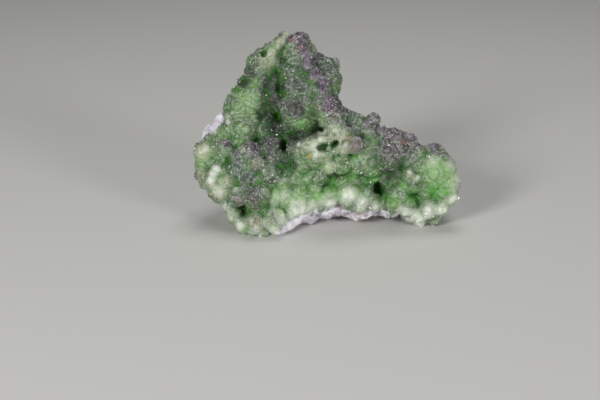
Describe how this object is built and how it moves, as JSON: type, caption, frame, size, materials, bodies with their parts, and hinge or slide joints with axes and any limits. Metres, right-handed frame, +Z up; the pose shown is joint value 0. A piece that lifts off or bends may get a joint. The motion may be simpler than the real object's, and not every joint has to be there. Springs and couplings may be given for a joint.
{
  "type": "smithsonite specimen",
  "caption": "Free-standing green botryoidal smithsonite crust on pale matrix rock, a leaning tower with a low arm, frosted lobes and a small cavity.",
  "frame": {"origin": "middle of the specimen's box, on the surface that it stands on", "axes": "+X along its length towards the low arm, +Y towards its broken back, +Z up; the display face looks towards -Y and leans back"},
  "size_m": [0.0853, 0.0443, 0.0601],
  "materials": {
    "smithsonite": "translucent waxy green lobes, with a frost of minute lilac-white crystals",
    "matrix": "matt broken rock, white to pale lilac grey"
  },
  "bodies": {
    "root": {"smithsonite_crust": "smithsonite", "matrix_rock": "matrix"}
  },
  "joints": []
}
